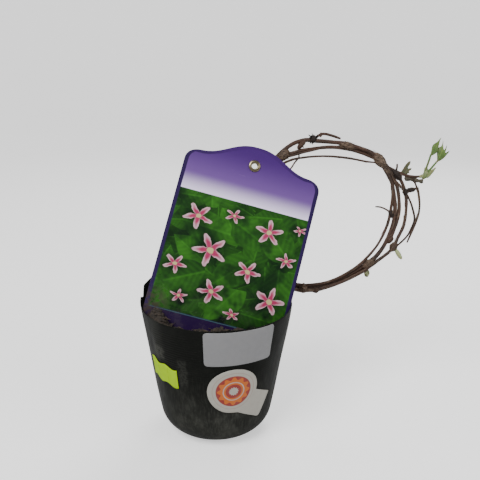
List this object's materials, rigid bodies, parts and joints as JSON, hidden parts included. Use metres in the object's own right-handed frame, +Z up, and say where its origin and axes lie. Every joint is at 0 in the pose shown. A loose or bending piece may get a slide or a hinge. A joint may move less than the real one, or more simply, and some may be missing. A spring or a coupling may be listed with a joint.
{
  "type": "potted clematis plant",
  "caption": "Bare climbing plant in a soft round nursery pot of soil, its woody stems wound into a coil beside a shouldered picture tag, with green shoots.",
  "frame": {"origin": "centre of the pot's flat underside, on the surface it stands on", "axes": "+Z up, -Y towards the front that the picture tag faces, +X to the right as seen from the front, towards the coil of stems"},
  "size_m": [0.1978, 0.0968, 0.1767],
  "materials": {
    "pot_film": "soft black film, faint dust and streaks",
    "soil": "crumbly dark brown soil with fibres",
    "tag_print": "glossy printed plastic sheet",
    "eyelet_metal": "polished brass, slightly dulled",
    "name_label": "matt white paper label",
    "round_label": "satin white label with a printed disc",
    "price_label": "fluorescent yellow-green paper label",
    "stem_bark": "thin brown bark, ridged, peeling grey at the nodes",
    "shoot_green": "fresh green leaf, soft sheen",
    "bud_green": "olive green bud with fine hairs",
    "bud_pale": "pale cream-green bud"
  },
  "bodies": {
    "root": {"nursery_pot": "pot_film", "potting_soil": "soil", "picture_tag": "tag_print", "tag_eyelet": "eyelet_metal", "name_sticker": "name_label", "round_sticker": "round_label", "price_sticker": "price_label", "vine_stems": "stem_bark", "green_shoot": "shoot_green", "leaf_bud": "bud_green", "pale_bud": "bud_pale", "round_bud": "bud_green"}
  },
  "joints": []
}
